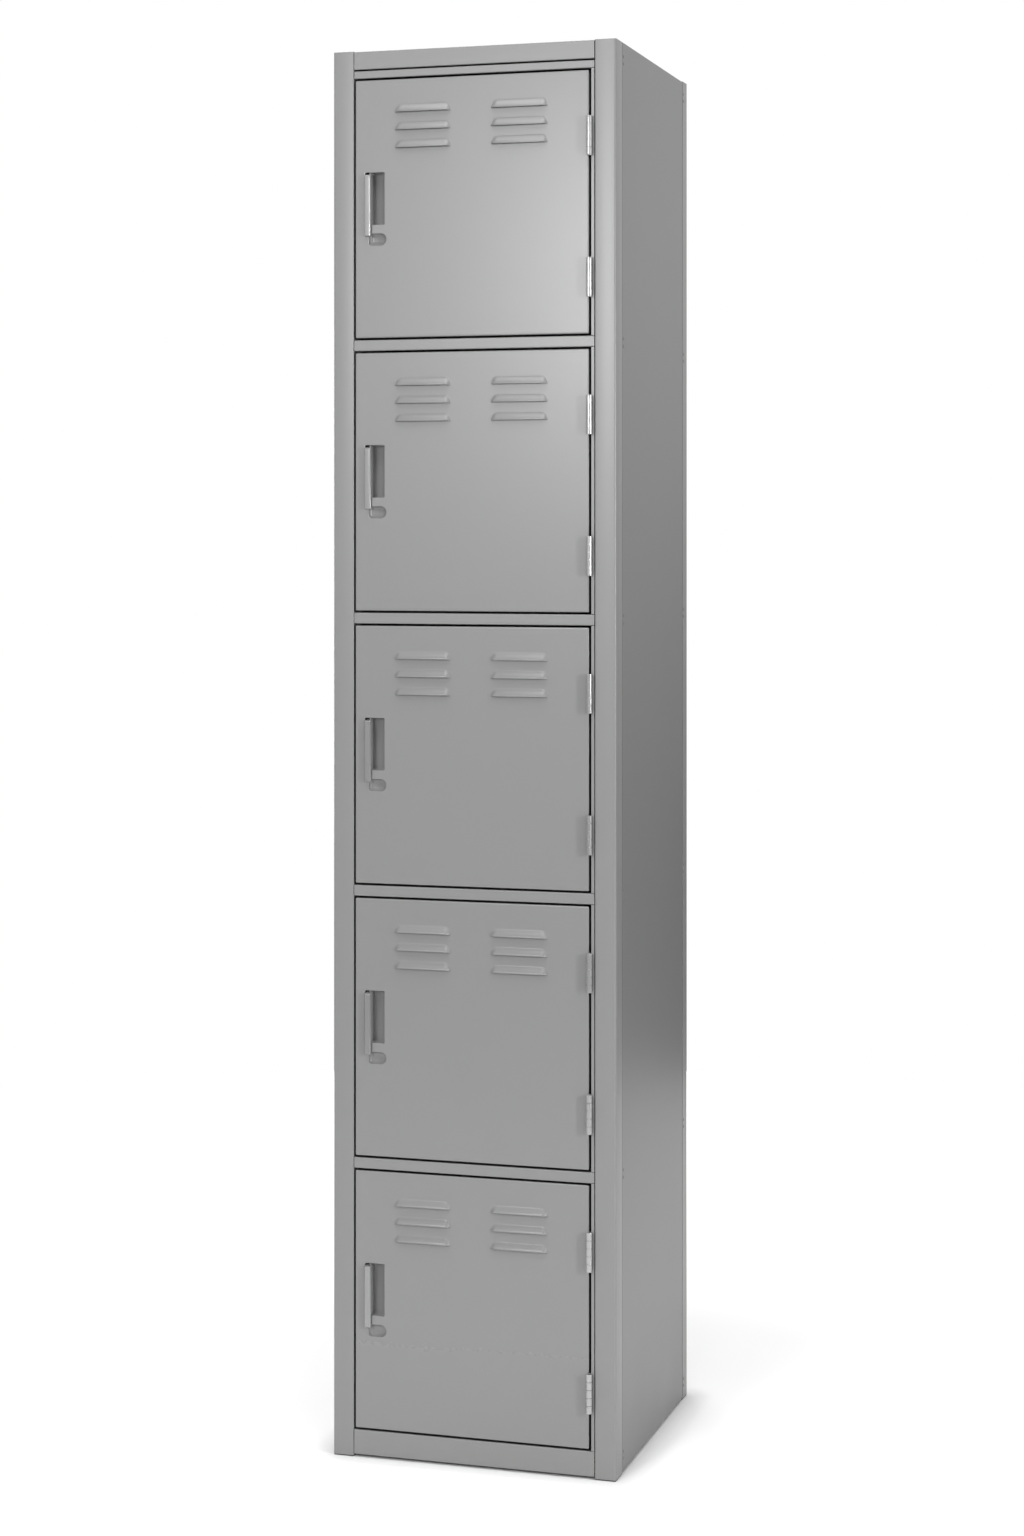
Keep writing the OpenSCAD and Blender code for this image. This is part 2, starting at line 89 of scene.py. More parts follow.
class Nodes:
    """Short calls for building one material's node tree."""

    def __init__(self, name):
        self.material = bpy.data.materials.new(name)
        self.material.use_nodes = True
        self.tree = self.material.node_tree
        self.shader = self.tree.nodes["Principled BSDF"]
        self.place = self.add("ShaderNodeTexCoord").outputs["Object"]

    def add(self, kind, links=None, **values):
        node = self.tree.nodes.new(kind)
        for key, value in values.items():
            setattr(node, key, value)
        for socket, source in (links or {}).items():
            if isinstance(source, bpy.types.NodeSocket):
                self.tree.links.new(source, node.inputs[socket])
            else:
                node.inputs[socket].default_value = source
        return node

    def stretched(self, scale):
        return self.add("ShaderNodeMapping",
                        {"Vector": self.place, "Scale": scale}).outputs["Vector"]

    def noise(self, scale, detail=2.0, place=None):
        return self.add("ShaderNodeTexNoise", {
            "Vector": place or self.place, "Scale": scale, "Detail": detail,
        }).outputs["Fac"]

    def ramp(self, value, low, high, to_low=0.0, to_high=1.0):
        return self.add("ShaderNodeMapRange", {
            "Value": value, "From Min": low, "From Max": high,
            "To Min": to_low, "To Max": to_high}).outputs["Result"]

    def math(self, operation, a, b):
        return self.add("ShaderNodeMath", {0: a, 1: b}, operation=operation).outputs[0]

    def mix(self, factor, a, b):
        return self.add("ShaderNodeMix", {0: factor, 6: a, 7: b},
                        data_type="RGBA").outputs[2]

    def bump(self, height, distance, normal=None):
        links = {"Height": height, "Distance": distance * MM}
        if normal:
            links["Normal"] = normal
        return self.add("ShaderNodeBump", links).outputs["Normal"]

    def shade(self, **sockets):
        """Sets or links the shader's sockets, and returns the finished material."""
        names = {"colour": "Base Color", "rough": "Roughness", "metal": "Metallic",
                 "normal": "Normal", "specular": "Specular IOR Level"}
        for key, value in sockets.items():
            socket = self.shader.inputs[names[key]]
            if isinstance(value, bpy.types.NodeSocket):
                self.tree.links.new(value, socket)
            else:
                socket.default_value = value
        return self.material


def grey(level, warmth=0.0):
    """An opaque grey, a little warmer where warmth is above zero."""
    return (level * (1 + warmth), level, level * (1 - warmth), 1)


CREVICE = 8       # how far round a crevice the painted shade looks for other surfaces
DUST_TOP = 0.16   # the height in metres that dust and kicks reach


def powder_coat(name, level, rough=0.30, shine=0.45, metal=0.0, crevice_shade=0.03):
    """Baked powder coat: orange peel, faint mottling, scuffs, dust low down, and painted
    shade in the crevices, where an ambient occlusion node darkens the colour."""
    n = Nodes(name)
    mottle = n.noise(2.6, 4)
    cloud = n.mix(n.ramp(mottle, 0.2, 0.8), grey(level * 0.988, -0.003),
                  grey(level * 1.01, 0.0))
    speck = n.ramp(n.noise(900, 2), 0.58, 0.75, 0, 0.14)
    flecked = n.mix(speck, cloud, grey(level * 0.86))
    height = n.add("ShaderNodeSeparateXYZ", {0: n.place}).outputs["Z"]
    low_down = n.math("MULTIPLY", n.ramp(height, DUST_TOP, 0.0),
                      n.ramp(mottle, 0.3, 0.7))
    dusty = n.mix(n.math("MULTIPLY", low_down, 0.22), flecked, grey(level * 0.72, 0.03))
    hair = n.noise(26, 3, n.stretched((1, 1, 9)))
    scuffs = n.math("MULTIPLY", n.ramp(hair, 0.70, 0.74), n.ramp(mottle, 0.5, 0.6))
    worn = n.mix(n.math("MULTIPLY", scuffs, 0.25), dusty, grey(level * 1.2))
    wander = n.ramp(n.noise(210, 3), 0.1, 0.9, rough - 0.004, rough + 0.004)
    rubbed = n.math("ADD", wander, n.math("MULTIPLY", low_down, 0.12))
    peel = n.bump(n.noise(520, 2), 0.005)
    grit = n.bump(n.noise(2300, 1), 0.0015, peel)
    # Painted shade: an ambient occlusion node darkens the colour in gaps, creases and
    # recesses.
    crevice = n.add("ShaderNodeAmbientOcclusion", {"Distance": CREVICE * MM}, samples=6)
    exposed = n.ramp(crevice.outputs["AO"], 0.2, 0.54)
    crevice_shaded = n.mix(exposed, grey(level * crevice_shade), worn)
    return n.shade(colour=crevice_shaded, rough=rubbed, normal=grit, specular=shine, metal=metal)


def steel(name, level, rough, grain=(1, 1, 14), plated=0.0):
    """Bare or plated steel with a drawn grain. plated is the strength of its spangle."""
    n = Nodes(name)
    lines = n.noise(420, 3, n.stretched(grain))
    spangle = n.add("ShaderNodeTexVoronoi", {"Vector": n.place, "Scale": 240})
    cell = n.math("MULTIPLY", n.ramp(spangle.outputs["Distance"], 0, 1), plated)
    tone = n.mix(n.ramp(lines, 0.3, 0.7), grey(level * 0.86), grey(level * 1.08))
    tinted = n.mix(cell, tone, grey(level * 0.8, -0.02))
    worn = n.ramp(lines, 0.3, 0.7, rough - 0.08, rough + 0.1)
    return n.shade(colour=tinted, rough=worn, metal=1.0, normal=n.bump(lines, 0.004))


def moulded(name, level, rough, grain=1500):
    """Moulded rubber or nylon with a fine matt texture."""
    n = Nodes(name)
    cloud = n.noise(60, 4)
    tone = n.mix(n.ramp(cloud, 0.3, 0.7), grey(level * 0.8), grey(level * 1.35))
    wander = n.ramp(cloud, 0.3, 0.7, rough - 0.06, rough + 0.08)
    return n.shade(colour=tone, rough=wander, normal=n.bump(n.noise(grain, 2), 0.015))


MATERIALS = {
    "frame_paint": powder_coat("frame_paint", 0.225),
    # The side panels' coat is the frame's powder coat made darker. It is painted shade
    # for sides that face away from the main lights, and the rivets, floor panel and back
    # panel share it.
    "panel_paint": powder_coat("panel_paint", 0.185, rough=0.31, shine=0.3),
    "door_paint": powder_coat("door_paint", 0.225, rough=0.27),
    # The hinges and levers get a lighter painted shade in their crevices.
    "hinge_paint": powder_coat("hinge_paint", 0.44, rough=0.23, shine=0.6, metal=0.6,
                               crevice_shade=0.4),
    "lever_metal": powder_coat("lever_metal", 0.28, rough=0.20, shine=0.8, metal=0.3,
                               crevice_shade=0.3),
    "pin_steel": steel("pin_steel", 0.52, 0.32),
    "zinc_steel": steel("zinc_steel", 0.60, 0.38, grain=(1, 1, 3), plated=0.5),
    "rubber": moulded("rubber", 0.020, 0.75),
    "glide_plastic": moulded("glide_plastic", 0.016, 0.55, grain=900),
}


# ------------------------------------------------------------------ mesh helpers

def piece(obj, body, slot, *nodes):
    """Gives an object its finish and its place in the CAD model."""
    obj.data.materials.clear()
    obj.data.materials.append(MATERIALS[slot])
    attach(obj, body)
    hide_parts(*nodes)
    return obj


def add_object(name, bm, recalculate=True):
    """Turns a bmesh into an object of the scene, with its faces outward if asked."""
    if recalculate:
        bmesh.ops.recalc_face_normals(bm, faces=bm.faces)
    mesh = bpy.data.meshes.new(name)
    bm.to_mesh(mesh)
    bm.free()
    obj = bpy.data.objects.new(name, mesh)
    bpy.context.scene.collection.objects.link(obj)
    return obj


def settle(obj, angle=SHARP):
    """Applies the modifiers, and shades smooth apart from edges over the angle."""
    depsgraph = bpy.context.evaluated_depsgraph_get()
    mesh = bpy.data.meshes.new_from_object(obj.evaluated_get(depsgraph))
    obj.modifiers.clear()
    obj.data = mesh
    mesh.shade_smooth()
    mesh.set_sharp_from_angle(angle=math.radians(angle))
    return obj


def to_metres(point):
    """A point in mm from the front left corner, in the scene's own metres."""
    return CORNER + Vector(point) * MM


def arc(centre, radius, start, end, steps):
    """Points on an arc, in degrees."""
    turns = [math.radians(start + (end - start) * i / steps) for i in range(steps + 1)]
    return [Vector((centre[0] + radius * math.cos(a), centre[1] + radius * math.sin(a)))
            for a in turns]


def rounded(points, radii, steps=4):
    """An open path through the points, with each corner rounded to its radius."""
    points = [Vector(p) for p in points]
    path = [points[0]]
    for before, corner, after, radius in zip(points, points[1:], points[2:], radii):
        back = (before - corner).normalized()
        on = (after - corner).normalized()
        half = back.angle(on) / 2
        centre = corner + (back + on).normalized() * (radius / math.sin(half))
        first = corner + back * (radius / math.tan(half)) - centre
        last = corner + on * (radius / math.tan(half)) - centre
        path += [centre + first.lerp(last, i / steps).normalized() * radius
                 for i in range(steps + 1)]
    return path + [points[-1]]


def offset(path, distance, closed=False):
    """The path moved to its left by the distance, with mitred corners."""
    moved = []
    for i, point in enumerate(path):
        sides = []
        if i or closed:
            sides.append((point - path[i - 1]).normalized())
        if i + 1 < len(path) or closed:
            sides.append((path[(i + 1) % len(path)] - point).normalized())
        lefts = [Vector((-side.y, side.x)) for side in sides]
        middle = sum(lefts, Vector((0, 0))).normalized()
        moved.append(point + middle * (distance / middle.dot(lefts[0])))
    return moved


def folded(bm, path, thick, low, high, mirrored=False):
    """A sheet folded along a plan path, from low to high. The path is its outer face,
    and low and high are heights or functions of the plan point."""
    faces = [path, offset(path, thick)]
    rows = []
    for end in (low, high):
        for face in faces:
            row = []
            for p in face:
                x = CAB_W - p.x if mirrored else p.x
                z = end(p) if callable(end) else end
                row.append(bm.verts.new(to_metres((x, p.y, z))))
            rows.append(row)
    outer0, inner0, outer1, inner1 = rows
    for a, b in ((outer0, outer1), (inner1, inner0), (inner0, outer0),
                 (outer1, inner1)):
        for i in range(len(path) - 1):
            bm.faces.new((a[i], a[i + 1], b[i + 1], b[i]))
    for i in (0, -1):
        bm.faces.new((outer0[i], outer1[i], inner1[i], inner0[i]))


def plate(bm, outline, low, high, mirrored=False):
    """A flat plate over a plan outline."""
    rings = []
    for z in (low, high):
        ring = [bm.verts.new(to_metres((CAB_W - p.x if mirrored else p.x, p.y, z)))
                for p in outline]
        rings.append(ring)
        bm.faces.new(ring)
    for i, a in enumerate(rings[0]):
        j = (i + 1) % len(outline)
        bm.faces.new((a, rings[0][j], rings[1][j], rings[1][i]))


def soften(node, body, slot, width=0.3, folds=None, angle=35, segments=2):
    """Stands in for a CAD node whose outline is right: the same solid with rounded
    edges. folds says how wide an edge's rounding is, from its two ends in mm."""
    bm = bmesh.new()
    bm.from_mesh(frame["nodes"][node].data)
    for layer in list(bm.loops.layers.uv.values()):
        bm.loops.layers.uv.remove(layer)
    bmesh.ops.remove_doubles(bm, verts=bm.verts, dist=2e-6)
    bmesh.ops.dissolve_limit(bm, angle_limit=math.radians(0.4), verts=bm.verts,
                             edges=bm.edges)
    widest = width
    if folds:
        weights = bm.edges.layers.float.new("bevel_weight_edge")
        rounds = {}
        for edge in bm.edges:
            if len(edge.link_faces) != 2:
                continue
            if edge.calc_face_angle() > math.radians(angle):
                rounds[edge] = folds(*[(v.co - CORNER) / MM for v in edge.verts])
        widest = max(rounds.values())
        for edge, radius in rounds.items():
            edge[weights] = radius / widest
    obj = add_object(f"{node}_skin", bm, recalculate=False)
    for name in ("custom_normal", "sharp_face", "sharp_edge"):
        if name in obj.data.attributes:
            obj.data.attributes.remove(obj.data.attributes[name])
    obj.data.shade_smooth()
    bevel = obj.modifiers.new("edges", "BEVEL")
    bevel.width = widest * MM
    bevel.segments = 3 if folds else segments
    bevel.limit_method = "WEIGHT" if folds else "ANGLE"
    bevel.angle_limit = math.radians(angle)
    bevel.use_clamp_overlap = False
    bevel.harden_normals = True
    return piece(obj, body, slot, node)


# ------------------------------------------------------------------ posts and panels

BEND = 1.3         # outer radius of the trays' and doors' bends
JOINT_GAP = 0.6    # between a side panel's edge, or its step, and the post it meets
LAP_GAP = 0.05     # between two lapped sheets
CORNER_R = 2.6     # a post's outer corner
SIDE_END = REAR[0].y - JOINT_GAP


def front_post(side):
    """C-shaped post whose side flange steps in behind the side panel."""
    mirrored = side == "right"
    lap_x = SHEET_T + LAP_GAP
    step_y = SIDE[0].y - JOINT_GAP
    back = step_y - 1
    path = rounded(
        [(lap_x, POST[1].y), (lap_x, step_y + 0.7), (0, step_y - 0.3), (0, 0),
         (POST_W, 0), (POST_W, back), (POST_W / 2, back)],
        [0.9, 0.7, CORNER_R, 1.5, 1.5], steps=5)
    bm = bmesh.new()
    folded(bm, path, FRAME_T, POST[0].z, CAB_H, mirrored)
    lid = [p for p in offset(path, FRAME_T) if p.y < back - 3]
    lid += [Vector((POST_W - FRAME_T, back)), Vector((FRAME_T, back))]
    plate(bm, lid, CAB_H - 2 * FRAME_T, CAB_H - 0.8, mirrored)
    obj = settle(add_object(f"front_post_{side}_skin", bm))
    piece(obj, "carcass", "frame_paint", f"front_post_{side}")


def rear_post(side):
    """L-shaped post, closed at the top."""
    mirrored = side == "right"
    low_y = REAR[0].y
    path = rounded([(0, low_y), (0, CAB_D), (POST_W, CAB_D)], [CORNER_R], steps=5)
    bm = bmesh.new()
    folded(bm, path, -FRAME_T, REAR[0].z, CAB_H, mirrored)
    lid = offset(path, -FRAME_T) + [Vector((POST_W, low_y))]
    plate(bm, lid, CAB_H - FRAME_T, CAB_H - 0.2, mirrored)
    obj = settle(add_object(f"rear_post_{side}_skin", bm))
    piece(obj, "carcass", "frame_paint", f"rear_post_{side}")


def side_panel(side):
    """Flat sheet, flush with the posts, that steps in behind the rear post."""
    lap_x = FRAME_T + LAP_GAP
    path = rounded([(0, SIDE[0].y), (0, SIDE_END - 0.9), (lap_x, SIDE_END - 0.1),
                    (lap_x, SIDE[1].y)], [0.8, 0.6])
    bm = bmesh.new()
    folded(bm, path, -SHEET_T, SIDE[0].z,
           lambda p: CAB_H if p.y < SIDE_END - 1.5 else CAB_H - FRAME_T - 0.1,
           side == "right")
    obj = settle(add_object(f"side_panel_{side}_skin", bm))
    piece(obj, "carcass", "panel_paint", f"side_panel_{side}")


HEAD_R, SHANK_R, SHANK_DEPTH = 2.2, 1.6, 2.2
HALF_PAIR = 4.7    # half the distance between the two rivets of a pair
HEAD_SHAPE = ((1, 0), (0.98, 0.30), (0.86, 0.62), (0.62, 0.88), (0.3, 0.99))


def rivet_heads():
    """Domed heads with a small flat, in pairs down the four side seams."""
    low, high = span("rivets")
    height = -low.x
    profile = [(HEAD_R * across, height * out) for across, out in HEAD_SHAPE]
    seams = [low.y + HEAD_R, high.y - HEAD_R]
    shelves = [span(f"shelf_{n}") for n in (1, 2, 3, 4)]
    levels = [(s[0].z + s[1].z) / 2 for s in shelves]
    levels += [low.z + HEAD_R + HALF_PAIR, high.z - HEAD_R - HALF_PAIR]
    bm = bmesh.new()
    for mirrored in (False, True):
        for y in seams:
            for level in levels:
                for z in (level - HALF_PAIR, level + HALF_PAIR):
                    dome(bm, profile, y, z, mirrored)
    obj = settle(add_object("rivet_heads", bm))
    piece(obj, "carcass", "panel_paint", "rivets")


def dome(bm, profile, y, z, mirrored, sides=20):
    """One rivet: its head stands out of the side, and its shank goes in."""
    rings = []
    for radius, out in [(SHANK_R, -SHANK_DEPTH), (SHANK_R, 0)] + profile:
        x = CAB_W + out if mirrored else -out
        ring = [bm.verts.new(to_metres((x, y + p.x, z + p.y)))
                for p in arc((0, 0), radius, 0, 360, sides)[:-1]]
        rings.append(ring)
    for a, b in zip(rings, rings[1:]):
        for i in range(sides):
            j = (i + 1) % sides
            bm.faces.new((a[i], a[j], b[j], b[i]))
    bm.faces.new(rings[0])
    bm.faces.new(rings[-1])


TRAY_EDGE = 0.22    # rounding of a tray's cut edges


def tray_folds(node):
    """Wide rounding along a tray's outer front bends, narrow elsewhere."""
    low, high = span(node)

    def width(a, b):
        level = abs(a.y - b.y) < 0.01 and abs(a.z - b.z) < 0.01
        in_front = a.y < low.y + 0.05
        at_bend = min(abs(a.z - low.z), abs(a.z - high.z)) < 0.05
        return BEND if level and in_front and at_bend else TRAY_EDGE

    return width


# ------------------------------------------------------------------ doors

# X is from a door's left edge. A drop is down from its top edge, and the dish's drop
# is down from the slot's top.
SLOT_X, SLOT_W, SLOT_H, SLOT_DROP = 13.3, 26.5, 68, 120
DISH_X, DISH_W, DISH_H, DISH_DROP = SLOT_X + 5, 24, 15.5, 79.5
DISH_DEEP, DISH_REACH = 5.2, 5.0
LOUVRE_W, LOUVRE_H, LOUVRE_OUT = 76, 10, 4.5
LOUVRE_PITCH, LOUVRE_DROP, LOUVRE_SLANT = 23.2, 43, 6
LOUVRE_END = 6.0    # length of a louvre's rounded ends
PIVOT_DROP = 6      # the lever's pin, down from the slot's top
POCKET_Y = 0.95     # front of the pocket's flat sheet, just behind the door's
LIP_W = 9           # a door's lips, in from its edges
LIP_BEND = 1.0
HOLD = 0.8          # narrow faces beside a bend, so that the flat next to it stays flat
QUARTER = [math.radians(turn) for turn in (30, 60, 90)]    # the steps of a bend


class Skin:
    """Builds one door's sheet in its own frame, with X and Z across the face and Y
    into the cabinet."""

    def __init__(self, origin):
        self.bm = bmesh.new()
        self.origin = Vector(origin)

    def vertex(self, x, y, z):
        return self.bm.verts.new(to_metres(self.origin + Vector((x, y, z))))

    def loop(self, points, y=0.0):
        return [self.vertex(p.x, y, p.y) for p in points]

    def band(self, a, b):
        for i in range(len(a)):
            j = (i + 1) % len(a)
            self.bm.faces.new((a[i], a[j], b[j], b[i]))

    def bands(self, rings):
        """Joins each ring to the next, and returns the first."""
        for a, b in zip(rings, rings[1:]):
            self.band(a, b)
        return rings[0]

    def sheet(self, grid):
        for a, b in zip(grid, grid[1:]):
            for i in range(len(a) - 1):
                self.bm.faces.new((a[i], b[i], b[i + 1], a[i + 1]))

    def surround(self, rim, gap, y=0.0):
        """A band of flat faces round a rim. Returns its outer loop."""
        flat = [(v.co - CORNER) / MM - self.origin for v in rim]
        ring = self.loop(offset([Vector((p.x, p.z)) for p in flat], gap, closed=True), y)
        self.band(ring, rim)
        return ring

    def fill(self, loops):
        """Fills the face between an outer loop and the loops of its holes."""
        edges = []
        for loop in loops:
            for i, vert in enumerate(loop):
                edges.append(self.bm.edges.get((vert, loop[(i + 1) % len(loop)])))
        bmesh.ops.triangle_fill(self.bm, edges=edges, use_beauty=True,
                                normal=Vector((0, -1, 0)))


def rectangle(x0, z0, x1, z1, radius, steps=3):
    """A rounded rectangle's outline."""
    corners = ((x1 - radius, z1 - radius, 0), (x0 + radius, z1 - radius, 90),
               (x0 + radius, z0 + radius, 180), (x1 - radius, z0 + radius, 270))
    return [p for x, z, turn in corners
            for p in arc((x, z), radius, turn, turn + 90, steps)]


def inset_face(inset):
    """The door's outline, moved inwards."""
    return rectangle(inset, inset, DOOR_W - inset, DOOR_H - inset,
                     max(BEND + 0.2 - inset, 0.1))


def dish_outline(grow, steps=10):
    """The dish's D shape, round on the right."""
    r = DISH_H / 2 + grow
    left_r = max(4 + grow, 0.3)
    z = DOOR_H - SLOT_DROP - DISH_DROP - DISH_H / 2
    left = DISH_X - grow + left_r
    right = arc((DISH_X + DISH_W - DISH_H / 2, z), r, -90, 90, 2 * steps)
    top = arc((left, z + r - left_r), left_r, 90, 180, steps)
    low = arc((left, z - r + left_r), left_r, 180, 270, steps)
    return right + top + low


def louvre_rows():
    """Heights down a louvre and how far out each is: a soft slope, then the nose."""
    nose, brow, lip = 0.9, 1.9, 0.5
    slope = math.atan2(LOUVRE_OUT, LOUVRE_H - nose - lip)
    bend_z = nose + lip
    bend = arc((LOUVRE_OUT - brow, bend_z), brow, math.degrees(slope), 0, 3)
    rows = []
    for i in range(8):
        s = i / 8
        rise = 0.55 * s * s * (3 - 2 * s) + 0.45 * s
        rows.append((LOUVRE_H - s * (LOUVRE_H - bend[0].y), rise * bend[0].x))
    rows += [(p.y, p.x) for p in bend]
    rows += [(max(p.y, 0), p.x)
             for p in arc((LOUVRE_OUT - nose, nose), nose, 0, -90, 4)]
    return rows


def louvre(skin, left, bottom):
    """A pressed louvre, open underneath. Returns its outline."""
    ends = [LOUVRE_END * (i / 6) ** 1.2 for i in range(7)]
    grid = []
    for z, out in louvre_rows():
        x0 = LOUVRE_SLANT * (z / LOUVRE_H) ** 1.3 * 0.8
        width = LOUVRE_W - 2 * x0
        row = []
        for d in ends + [width - e for e in reversed(ends)]:
            edge = min(min(d, width - d) / LOUVRE_END, 1)
            row.append(skin.vertex(left + x0 + d, -out * edge * (2 - edge), bottom + z))
        grid.append(row)
    skin.sheet(grid)
    rim = grid[0] + [row[-1] for row in grid[1:]] + [row[0] for row in grid[:0:-1]]
    return skin.surround(rim, HOLD)


def rolled_hole(skin, outline, roll=0.5):
    """A hole whose edge rolls into the door. outline gives the hole, grown."""
    steps = [(roll + HOLD, 0), (roll, 0)]
    steps += [(roll * (1 - math.sin(a)), roll * (1 - math.cos(a))) for a in QUARTER]
    return skin.bands([skin.loop(outline(grow), y) for grow, y in steps])


def slot_outline(grow):
    """The slot's outline, grown."""
    top = DOOR_H - SLOT_DROP
    return rectangle(SLOT_X - grow, top - SLOT_H - grow, SLOT_X + SLOT_W + grow,
                     top + grow, 1.2 + grow)


def pan_rings(skin):
    """The bends and flanges of the pan, from its face round to its lips."""
    steps = [(BEND + HOLD, 0), (BEND, 0)]
    steps += [(BEND * (1 - math.sin(a)), BEND * (1 - math.cos(a))) for a in QUARTER]
    steps += [(0, BEND + HOLD), (0, DOOR_D - LIP_BEND - HOLD), (0, DOOR_D - LIP_BEND)]
    steps += [(LIP_BEND * (1 - math.cos(a)), DOOR_D - LIP_BEND * (1 - math.sin(a)))
              for a in QUARTER]
    steps += [(LIP_BEND + HOLD, DOOR_D), (LIP_W, DOOR_D)]
    return skin.bands([skin.loop(inset_face(inset), y) for inset, y in steps])


def thicken(name, skin):
    """Makes an open skin into an object, with its sheet's thickness behind the face."""
    obj = add_object(name, skin.bm)
    face_forward(obj)
    solid = obj.modifiers.new("sheet", "SOLIDIFY")
    solid.thickness = SHEET_T * MM
    solid.offset = -1
    solid.use_even_offset = True
    return settle(obj)


def door_panel(n):
    """The folded pan, with its louvres and the two openings of the pull."""
    low, _ = span(f"door_panel_{n}")
    skin = Skin((low.x, 0, low.z))
    loops = [pan_rings(skin)]
    margin = (DOOR_W - 2 * LOUVRE_W) / 3
    for left in (margin, DOOR_W - margin - LOUVRE_W):
        for k in range(3):
            loops.append(louvre(skin, left, DOOR_H - LOUVRE_DROP - k * LOUVRE_PITCH))
    loops.append(rolled_hole(skin, slot_outline))
    loops.append(rolled_hole(skin, dish_outline))
    skin.fill(loops)
    obj = thicken(f"door_panel_{n}_skin", skin)
    piece(obj, f"door_{n}", "door_paint", f"door_panel_{n}")


# The trough is part of a cylinder. WALL_FILLET is at its left wall, and END_FILLET at
# its top and bottom.
TROUGH_X0, TROUGH_X1 = SLOT_X + 7.2, SLOT_X + 26.4
TROUGH_AXIS, TROUGH_R, TROUGH_DROP = SLOT_X + 9.65, 17.3, 3.3 + POCKET_Y
WALL_FILLET, END_FILLET = 2, 2.5


def filleted(width, fillet, steps=5):
    """Distances across a width, closer together in the fillet at each end."""
    ends = [fillet * (1 - math.cos(math.radians(90 * i / steps)))
            for i in range(steps + 1)]
    return ends + [width - d for d in reversed(ends)]


def fillet_depth(distance, fillet):
    """The share of the full depth at a distance from a wall with a fillet."""
    gap = 1 - min(distance / fillet, 1)
    return math.sqrt(max(1 - gap * gap, 0))


def trough(skin):
    """The scoop behind the slot: a round floor, deepest at the left. Returns the
    loop around its mouth."""
    top = DOOR_H - SLOT_DROP
    turns = [math.radians(86 - 6 * i) for i in range(13)]
    across = [TROUGH_X0 + d for d in filleted(8, WALL_FILLET)[:6]]
    across += [x for x in (TROUGH_AXIS + TROUGH_R * math.cos(a) for a in turns)
               if TROUGH_X0 + 2.4 < x < TROUGH_X1 - 0.3] + [TROUGH_X1]
    grid = []
    for d in filleted(SLOT_H, END_FILLET):
        row = []
        for x in across:
            floor = math.sqrt(max(TROUGH_R ** 2 - (x - TROUGH_AXIS) ** 2, 0))
            depth = max(floor - TROUGH_DROP, 0) * fillet_depth(
                x - TROUGH_X0, WALL_FILLET) * fillet_depth(min(d, SLOT_H - d), END_FILLET)
            if x == TROUGH_X1:
                depth = 0
            row.append(skin.vertex(x, POCKET_Y + depth, top - d))
        grid.append(row)
    skin.sheet(grid)
    rim = grid[0] + [row[-1] for row in grid[1:]] + grid[-1][-2::-1]
    rim += [row[0] for row in grid[-2:0:-1]]
    return skin.surround(rim, 0.5, POCKET_Y)


def bowl(skin, steps=8):
    """The finger dish, a smooth bowl under the dish's outline."""
    rings = [skin.loop(dish_outline(0.5), POCKET_Y)]
    for i in range(steps + 1):
        a = math.radians(90 * i / steps)
        rings.append(skin.loop(dish_outline(-DISH_REACH * (1 - math.cos(a))),
                               POCKET_Y + DISH_DEEP * math.sin(a)))
    outer = skin.bands(rings)
    skin.bm.faces.new(rings[-1])
    return outer


BAR_W = 5.9    # the opening that the lever's bar comes through, at the slot's left
RIM = 0.6      # narrow faces round the pocket's edge
BAR_RIM = 0.4


def handle_pocket(n):
    """The sheet behind the slot and the dish, with the trough and the bowl in it."""
    low, high = span(f"handle_pocket_{n}")
    origin = span(f"door_panel_{n}")[0]
    skin = Skin((origin.x, 0, origin.z))
    top = DOOR_H - SLOT_DROP
    low, high = low - skin.origin, high - skin.origin
    edge = skin.loop(rectangle(low.x, low.z, high.x, high.z, 2.0), POCKET_Y)
    inside = skin.loop(rectangle(low.x + RIM, low.z + RIM, high.x - RIM, high.z - RIM,
                                 1.4), POCKET_Y)
    skin.band(edge, inside)
    hole = skin.loop(rectangle(SLOT_X, top - SLOT_H, SLOT_X + BAR_W, top, 0.6), POCKET_Y)
    hole_ring = skin.loop(rectangle(SLOT_X - BAR_RIM, top - SLOT_H - BAR_RIM,
                                    SLOT_X + BAR_W + BAR_RIM, top + BAR_RIM, 1.0),
                          POCKET_Y)
    skin.band(hole_ring, hole)
    skin.fill([inside, hole_ring, trough(skin), bowl(skin)])
    obj = thicken(f"handle_pocket_{n}_skin", skin)
    piece(obj, f"door_{n}", "door_paint", f"handle_pocket_{n}")
    pin_ear(n, skin.origin)


EAR_X, EAR_T, EAR_HALF = 8.2, 1.2, 5
EAR_ROUND, EAR_R = 6.5, 4.5    # the middle of its round end, from the door's face


def pin_ear(n, origin):
    """The tab behind the pocket that carries the left end of the lever's pin."""
    front = POCKET_Y + SHEET_T
    middle = DOOR_H - SLOT_DROP - PIVOT_DROP
    outline = [Vector((front, middle + EAR_HALF)), Vector((front, middle - EAR_HALF))]
    outline += arc((EAR_ROUND, middle), EAR_R, -90, 90, 10)
    bm = bmesh.new()
    rings = []
    for x in (EAR_X, EAR_X + EAR_T):
        rings.append([bm.verts.new(to_metres(origin + Vector((x, p.x, p.y))))
                      for p in outline])
        bm.faces.new(rings[-1])
    for i, a in enumerate(rings[0]):
        j = (i + 1) % len(outline)
        bm.faces.new((a, rings[0][j], rings[1][j], rings[1][i]))
    obj = settle(add_object(f"pin_ear_{n}", bm))
    obj.data.materials.append(MATERIALS["door_paint"])
    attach(obj, f"door_{n}")


def face_forward(obj):
    """Turns an open skin's normals towards the front of the cabinet."""
    flats = [p for p in obj.data.polygons if abs(p.normal.y) > 0.99]
    largest = max(flats, key=lambda p: p.area)
    if largest.normal.y > 0:
        obj.data.flip_normals()


